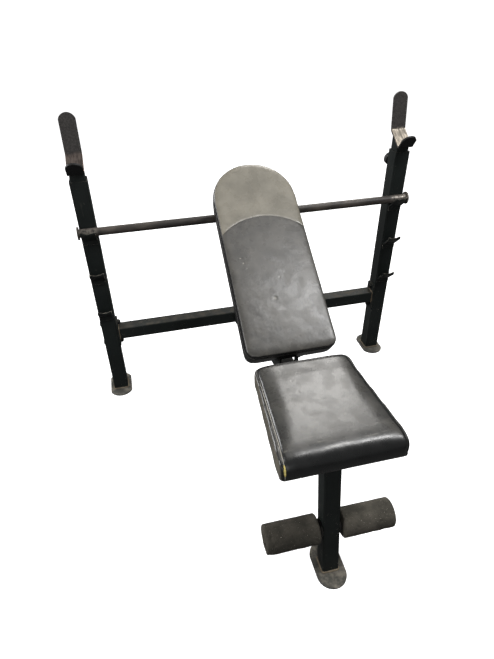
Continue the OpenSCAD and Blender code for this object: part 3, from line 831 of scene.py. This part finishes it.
def seat_colour(look):
    mottle = look.step(look.noise(16, 5), 0.3, 0.7)
    blot = look.step(look.noise(45, 5, rough=0.7), 0.35, 0.7)
    # Faces that look up get a grey tone: partly dust, partly a painted sheen on the black vinyl's top.
    up = look.step(look.part(look.facing, "Z"), 0.86, 0.995)
    dust = look.mix(mottle, tone(46, 46, 44), tone(62, 61, 58))
    dust = look.mix(look.both(blot, 0.35), dust, tone(84, 82, 76))
    # Faces that look to the left are painted lighter brown-grey: painted light falling from the left; the
    # other sides stay black.
    side = look.step(look.part(look.facing, "X"), -0.6, -0.9)
    dark = look.mix(look.both(side, look.blend(mottle, 0.6, 1.0)), tone(22, 23, 23), tone(112, 107, 96))
    colour = look.mix(up, dark, dust)
    specks = look.step(look.noise(230, 3), 0.66, 0.71)
    colour = look.mix(look.both(specks, 0.25), colour, tone(34, 33, 32))
    # Pale streaks where the top starts to roll over the front: a painted highlight of the light overhead.
    painted_highlight_streaks = look.step(look.noise(30, 4, stretch=(0.5, 4, 4)), 0.55, 0.72)
    front = look.both(look.step(look.part(look.place, "Y"), 0.085, 0.05),
                      look.step(look.part(look.facing, "Z"), 0.86, 0.96))
    colour = look.mix(look.both(painted_highlight_streaks, front, 0.45), colour, tone(150, 146, 138))
    return marked(look, colour, SEAT_MARKS)


def piping_colour(look):
    # Pale only on the left, towards the front: a painted highlight along the side lit from the left, broken
    # up by noise.
    left = look.step(look.part(look.place, "X"), 0.0, -0.1)
    ahead = look.step(look.part(look.place, "Y"), 0.28, 0.22)
    paler = look.both(look.step(look.noise(60, 3), 0.2, 0.42), left, ahead)
    return look.mix(paler, tone(40, 39, 37), tone(158, 154, 144))


def dark_piping_colour(look):
    paler = look.step(look.noise(60, 4), 0.4, 0.7)
    return look.mix(paler, tone(38, 37, 36), tone(74, 72, 68))


def back_colour(look):
    mottle = look.step(look.noise(14, 5), 0.3, 0.7)
    blot = look.step(look.noise(50, 5, rough=0.7), 0.4, 0.7)
    # Faces that look up get the grey tones below, the sides stay near black: that grey is partly the cover's
    # own tone, partly a painted sheen on black vinyl.
    up = look.step(look.part(look.facing, "Z"), 0.55, 0.95)
    body = look.mix(mottle, tone(70, 69, 66), tone(90, 88, 84))
    body = look.mix(look.both(blot, 0.4), body, tone(104, 101, 95))
    beige = look.mix(mottle, tone(116, 112, 101), tone(138, 133, 121))
    beige = look.mix(look.both(blot, 0.35), beige, tone(108, 104, 95))
    radius = look.distance(0, HEAD_Y)
    head = look.step(radius, HEAD_R - 0.4 * MM, HEAD_R + 0.4 * MM)
    upper = look.step(look.part(look.place, "Y"), 0.30, 0.31)
    colour = look.mix(look.both(head, upper), body, beige)
    off_seam = look.calc("ABSOLUTE", look.calc("SUBTRACT", radius, HEAD_R))
    seam = look.both(look.step(off_seam, 1.8 * MM, 0.6 * MM), upper)
    colour = look.mix(look.both(seam, 0.65), colour, tone(44, 42, 40))
    # Near black on the sides, grey on what faces up: partly painted sheen.
    return marked(look, look.mix(up, tone(30, 30, 30), colour), BACK_MARKS)


def raw_foam():
    look = Look("raw_foam")
    grain = look.noise(600, 3)
    colour = look.mix(look.step(grain, 0.35, 0.65), tone(206, 186, 96), tone(238, 222, 150))
    look.set(Base_Color=colour, Roughness=0.95, Specular_IOR_Level=0.1)
    look.bump(grain, 0.4 * MM, 0.8)
    return look.material


# ---- Foam leg rollers ----

def foam_sleeve(side, material):
    """Foam tube with a bore for its bar, rounded ends, small pits and a few torn nicks."""
    node = f"{side}_foam_roller"
    low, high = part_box(node)
    middle = (low + high) / 2
    outer = (high.z - low.z) / 2
    length = high.x - low.x
    bore = 11.4 * MM
    edge = 5 * MM
    around, along = 132, 52
    profile = [(0.0, bore), (0.0, bore + 4 * MM), (0.0, (bore + outer) / 2), (0.2 * MM, outer - 2 * edge),
               (0.8 * MM, outer - edge)]
    profile += [(edge * (1 - math.cos(math.radians(t))), outer - edge * (1 - math.sin(math.radians(t))))
                for t in (25, 45, 65, 80)]
    body = [(edge + (length - 2 * edge) * k / along, outer) for k in range(1, along)]
    rim = [(length - x, r) for x, r in reversed(profile)]
    profile = profile + body + rim
    rng = random.Random(11 if side == "left" else 23)
    nicks = [(rng.uniform(0, length), rng.uniform(0, 2 * math.pi), rng.uniform(1.5, 5) * MM,
              rng.uniform(0.8, 2.4) * MM) for _ in range(26)]
    nicks += [(rng.choice((0.0, length)), rng.uniform(0, 2 * math.pi), rng.uniform(4, 8) * MM, 3 * MM)
              for _ in range(4)]
    if side == "left":
        nicks += [(0.0, math.radians(195), 9 * MM, 5 * MM), (3 * MM, math.radians(215), 6 * MM, 3 * MM)]
    verts, faces = [], []
    for x, r in profile:
        for k in range(around):
            turn = 2 * math.pi * k / around
            out = Vector((0, math.cos(turn), math.sin(turn)))
            place = Vector((x, 0, 0)) + out * r
            if r > bore + 1 * MM:
                uneven = noise.noise(place * 60) * 0.7 + noise.noise(place * 260) * 0.45
                dip = sum(d * math.exp(-((x - nx) ** 2 + (r * angle_between(turn, na)) ** 2) / nr ** 2)
                          for nx, na, nr, d in nicks)
                place -= out * max(0.0, (0.7 - uneven * 0.8) * MM + dip)
            verts.append(place + Vector((low.x, middle.y, middle.z)))
    rows = len(profile)
    for i in range(rows):
        j = (i + 1) % rows
        for k in range(around):
            n = (k + 1) % around
            faces.append((i * around + k, i * around + n, j * around + n, j * around + k))
    piece = mesh_object(f"{side}_foam", verts, faces)
    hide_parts(node)
    dress(piece, material, f"{side}_roller")


def angle_between(a, b):
    """The turn from b to a, between minus and plus half a turn."""
    return (a - b + math.pi) % (2 * math.pi) - math.pi


# ---- Weld beads ----

def bead(name, path, material, body, radius, seed, closed=True):
    """Weld bead: a lumpy half-sunk tube along a path, with the ripples of its passes."""
    path = resample(path + path[:1] if closed else path, 1.8 * MM)
    if closed:
        path = path[:-1]
    path = smoothed(path, 2, closed)
    rng = random.Random(seed)
    shift = rng.uniform(0, 10)
    sizes = []
    for i in range(len(path)):
        lump = noise.noise(Vector((i * 0.11, shift, 0)))
        sizes.append(radius * (1 + 0.14 * math.sin(i * 2.1 + shift) + 0.28 * lump))
    piece = tube(name, path, lambda i: sizes[i], closed)
    return dress(piece, material, body)


def rectangle(centre, half_a, half_b, axis_a, axis_b):
    """Rounded rectangle as a path: half sizes along two axes."""
    corner = 4 * MM
    out = []
    for sa, sb, start in ((1, 1, 0), (-1, 1, 90), (-1, -1, 180), (1, -1, 270)):
        for t in (0, 30, 60, 90):
            turn = math.radians(start + t)
            a = sa * (half_a - corner) + corner * math.cos(turn)
            b = sb * (half_b - corner) + corner * math.sin(turn)
            out.append(centre + axis_a * a + axis_b * b)
    return out


X, Y, Z = Vector((1, 0, 0)), Vector((0, 1, 0)), Vector((0, 0, 1))


def weld_beads(material):
    foot_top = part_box("left_rear_foot")[1].z
    for side in ("left", "right"):
        low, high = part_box(f"{side}_upright")
        centre = (low + high) / 2
        at = Vector((centre.x, centre.y, foot_top))
        bead(f"{side}_foot_weld", rectangle(at, (high.x - low.x) / 2, (high.y - low.y) / 2, X, Y),
             material, "frame", 3.2 * MM, seed=3)
        low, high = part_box("crossmember")
        end = high.x if side == "right" else low.x
        at = Vector((end, (low.y + high.y) / 2, (low.z + high.z) / 2))
        bead(f"{side}_cross_weld", rectangle(at, (high.y - low.y) / 2, (high.z - low.z) / 2, Y, Z),
             material, "frame", 2.8 * MM, seed=5)
        for level in ("low", "middle", "top"):
            low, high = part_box(f"{side}_bar_hook_{level}")
            for edge, x in (("outer", low.x), ("inner", high.x)):
                path = [Vector((x, high.y, low.z + 2 * MM)), Vector((x, high.y, low.z + 34 * MM))]
                bead(f"{side}_hook_{level}_{edge}_weld", path, finishes["black_frame"], "frame", 1.8 * MM,
                     seed=7, closed=False)
        neck_weld(side)
    co = points_of(nodes["front_post"].data)
    base = co[co[:, 2] < co[:, 2].min() + 1 * MM]
    low, high = Vector(base.min(0)), Vector(base.max(0))
    at = (low + high) / 2
    at.z = foot_top
    bead("post_foot_weld", rectangle(at, (high.x - low.x) / 2, (high.y - low.y) / 2, X, Y),
         material, "frame", 3.2 * MM, seed=9)


def neck_weld(side):
    """Bead where the inner tube's slanted top meets the cradle."""
    co = points_of(nodes[f"{side}_inner_tube"].data)
    centre = (co.min(0) + co.max(0)) / 2
    high = co[co[:, 2] > co[:, 2].max() - 45 * MM]
    outer = high[np.maximum(abs(high[:, 0] - centre[0]), abs(high[:, 1] - centre[1])) > 20.5 * MM]
    turn = np.arctan2(outer[:, 1] - centre[1], outer[:, 0] - centre[0])
    outer = outer[np.argsort(turn)]
    path = [Vector(p) for p in outer]
    kept = [path[0]]
    for p in path[1:]:
        if (p - kept[-1]).length > 2 * MM:
            kept.append(p)
    bead(f"{side}_neck_weld", kept, finishes["black_frame"], f"{side}_cradle", 2.2 * MM, seed=13)


# ---- Finishes of the CAD nodes ----

dust_tone = tone(84, 78, 68)
finishes = {
    "black_frame": painted("black_frame", tone(25, 29, 28), dust_tone, tone(132, 127, 118),
                           edge=0.75, splash=0.9),
    "dusty_plate": painted("dusty_plate", tone(56, 57, 54), tone(124, 119, 109), tone(160, 150, 134),
                           dustiness=0.95, rough=0.6),
    "black_steel": painted("black_steel", tone(34, 34, 34), dust_tone, tone(130, 126, 118), dustiness=0.4),
    "worn_bar": bar_steel(),
    "left_bar_cradle": cradle_metal("left_cradle_metal", CRADLE_VALLEY_Z + LEFT_RAISE,
                                    CRADLE_BEND_Z + LEFT_RAISE, (104, 94, 88), (176, 126, 102)),
    "right_bar_cradle": cradle_metal("right_cradle_metal", CRADLE_VALLEY_Z, CRADLE_BEND_Z,
                                     (226, 214, 196), (214, 182, 154)),
    "zinc_steel": zinc_plate(),
    "plywood": plywood(),
    "black_plastic": moulded(),
}
hook_paint = painted("hook_paint", tone(24, 27, 26), dust_tone, tone(196, 188, 174), edge=1.0, scratches=0.9)
for level in ("low", "middle", "top"):
    finishes[f"left_bar_hook_{level}"] = finishes[f"right_bar_hook_{level}"] = hook_paint
finishes["end_plate_nuts"] = finishes["roller_collars"] = finishes["black_steel"]


def finish_nodes():
    """Gives each CAD node its own finish if it has one, or else that of its slot."""
    for name, obj in nodes.items():
        slot = obj.material_slots[0].material.name.split(".")[0]
        obj.data.materials.clear()
        obj.data.materials.append(finishes.get(name) or finishes.get(slot, finishes["black_frame"]))


# ---- Floor, light and camera ----

def studio_floor():
    """Plain pale floor; it lights the object less than its brightness to the camera would."""
    reach = 30
    mesh = bpy.data.meshes.new("floor")
    mesh.from_pydata([(-reach, -reach, 0), (reach, -reach, 0), (reach, reach, 0), (-reach, reach, 0)], [],
                     [(0, 1, 2, 3)])
    floor = new_object("floor", mesh)
    look = Look("floor")
    path = look.tree.nodes.new("ShaderNodeLightPath")
    seen = path.outputs["Is Camera Ray"]
    look.set(Base_Color=look.mix(seen, (0.11, 0.11, 0.11, 1), (0.8, 0.8, 0.8, 1)), Roughness=0.9,
             Specular_IOR_Level=0.0, Emission_Color=(1, 1, 1, 1),
             Emission_Strength=look.calc("MULTIPLY", seen, 0.93))
    mesh.materials.append(look.material)


def softbox(name, where, target, size, radiance, tint=(1, 1, 1)):
    """A rectangular light facing target; its energy grows with its area, so radiance sets its brightness."""
    light = bpy.data.lights.new(name, "AREA")
    light.shape = "RECTANGLE"
    light.size, light.size_y = size
    light.energy = radiance * math.pi * size[0] * size[1]
    light.color = tint
    obj = bpy.data.objects.new(name, light)
    bpy.context.scene.collection.objects.link(obj)
    obj.location = where
    obj.rotation_euler = (Vector(target) - Vector(where)).to_track_quat("-Z", "Y").to_euler()


def set_world(low, high):
    """White to the camera; on the object, a dim sky that is brighter overhead."""
    world = bpy.data.worlds.new("world")
    bpy.context.scene.world = world
    world.use_nodes = True
    tree = world.node_tree
    path = tree.nodes.new("ShaderNodeLightPath")
    coords = tree.nodes.new("ShaderNodeTexCoord")
    split = tree.nodes.new("ShaderNodeSeparateXYZ")
    tree.links.new(coords.outputs["Generated"], split.inputs[0])
    height = tree.nodes.new("ShaderNodeMapRange")
    height.inputs["From Min"].default_value = 0.0
    height.inputs["From Max"].default_value = 0.9
    height.inputs["To Min"].default_value = low
    height.inputs["To Max"].default_value = high
    tree.links.new(split.outputs[2], height.inputs["Value"])
    pick = tree.nodes.new("ShaderNodeMix")
    pick.data_type = "FLOAT"
    tree.links.new(path.outputs["Is Camera Ray"], pick.inputs["Factor"])
    tree.links.new(height.outputs[0], pick.inputs[2])
    pick.inputs[3].default_value = 1.0
    tree.links.new(pick.outputs[0], tree.nodes["Background"].inputs["Strength"])
    tree.nodes["Background"].inputs["Color"].default_value = (1, 1, 1, 1)


def set_camera():
    place = (-0.3562, -1.0769, 1.2905)
    pan, tilt, roll = -12.88, 90 - 36.06, -0.98
    camera = bpy.data.cameras.new("camera")
    camera.lens = 27.77
    camera.sensor_width = 36
    camera.clip_start = 0.05
    obj = bpy.data.objects.new("camera", camera)
    bpy.context.scene.collection.objects.link(obj)
    turn = (Matrix.Rotation(math.radians(pan), 4, "Z") @ Matrix.Rotation(math.radians(tilt), 4, "X")
            @ Matrix.Rotation(math.radians(roll), 4, "Z"))
    obj.matrix_world = Matrix.Translation(place) @ turn
    bpy.context.scene.camera = obj


hem(seat_pad(), "seat_hem", "frame")
hem(back_pad(), "back_hem", "backrest")
foam = foam_rubber()
foam_sleeve("left", foam)
foam_sleeve("right", foam)
finish_nodes()
weld_beads(painted("weld", tone(96, 86, 72), tone(150, 138, 118), tone(170, 156, 132),
                   dustiness=0.9, rough=0.6))
studio_floor()
set_world(0.15, 0.20)
set_camera()
softbox("window_light", (1.08, 2.2, 2.9), (0.02, -0.3, 0.47), (1.05, 1.5), 8.8, (1.0, 0.98, 0.95))
softbox("strip_light", (1.45, -0.5, 2.9), (0.05, -0.3, 0.47), (0.34, 1.8), 28.0)
softbox("overhead_light", (0.5, 0.4, 3.2), (0.1, 0.0, 0.5), (1.6, 2.0), 1.0)
softbox("fill_light", (-2.4, -0.3, 1.9), (0, 0, 0.4), (1.0, 1.2), 8.0)
softbox("rear_left_light", (-2.0, 2.0, 1.5), (-0.1, -0.2, 0.47), (1.2, 1.2), 9.0)
softbox("front_light", (-0.9, -2.7, 1.5), (0, 0, 0.3), (1.6, 1.2), 1.6)
bpy.context.scene.view_settings.view_transform = "Standard"
